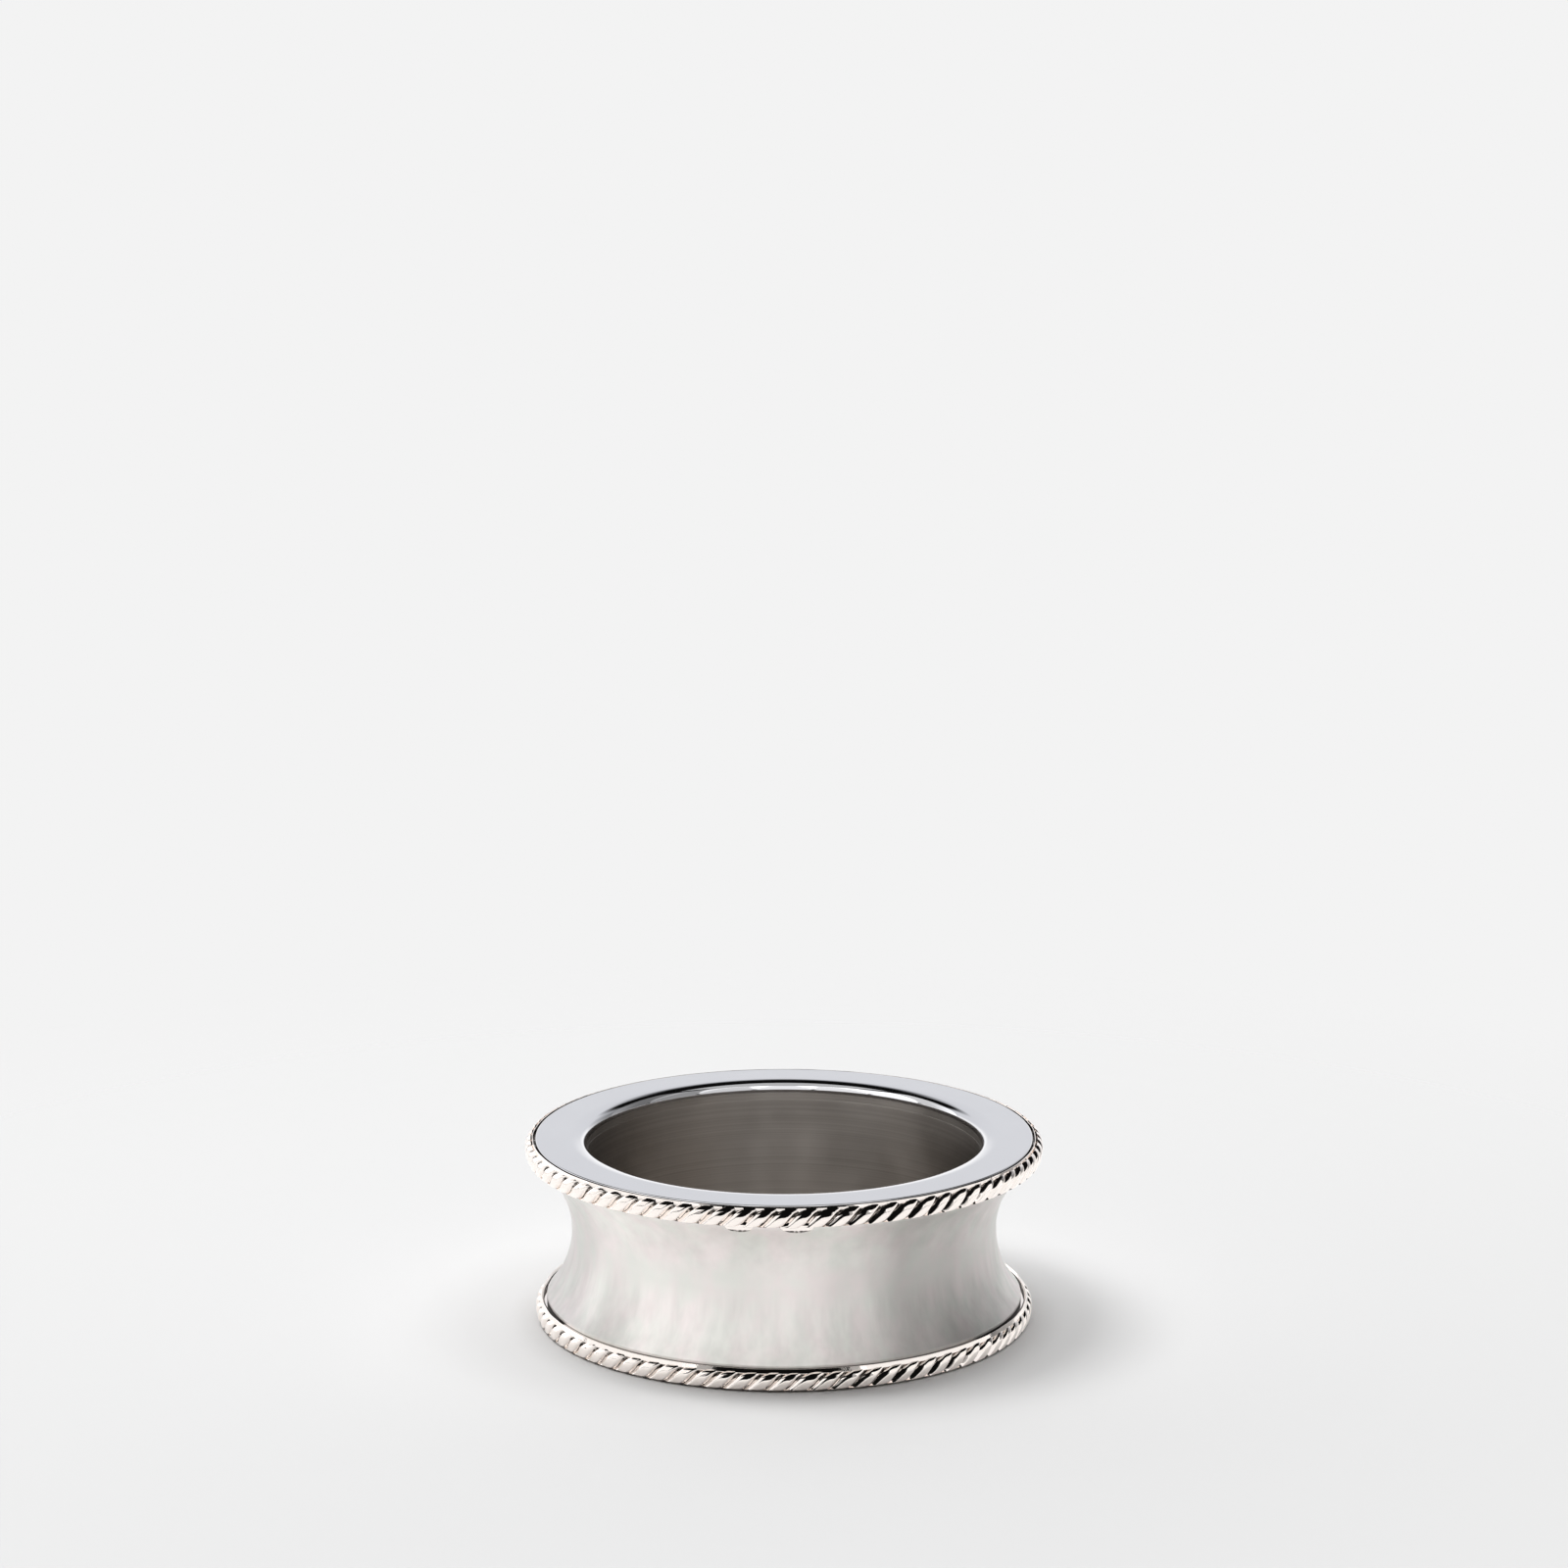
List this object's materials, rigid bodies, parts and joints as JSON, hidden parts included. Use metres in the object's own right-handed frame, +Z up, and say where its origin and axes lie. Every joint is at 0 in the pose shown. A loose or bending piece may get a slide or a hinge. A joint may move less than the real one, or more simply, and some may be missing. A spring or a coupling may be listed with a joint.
{
  "type": "wine bottle coaster",
  "caption": "Waisted metal bottle coaster with a flat polished rim, a round well that a wine bottle stands in, and rope-twist borders round the rim and the foot",
  "frame": {"origin": "centre of the underside of the felt, on the surface that the coaster stands on", "axes": "+Z is up, along the axis of the well; X and Y lie in the table's plane, and the coaster is round"},
  "size_m": [0.1399, 0.14, 0.05],
  "materials": {
    "mirror_metal": "mirror polished nickel plate",
    "turned_metal": "fine turned lines round the axis",
    "satin_metal": "spun and softly polished",
    "border_metal": "bright polished, slightly warm",
    "felt": "black wool felt"
  },
  "bodies": {
    "root": {"top_rim": "mirror_metal", "well_cup": "turned_metal", "waisted_wall": "satin_metal", "base_plate": "turned_metal", "felt_pad": "felt", "top_rope_border": "border_metal", "top_plain_wire": "border_metal", "foot_rope_border": "border_metal", "foot_plain_wire": "border_metal"}
  },
  "joints": []
}
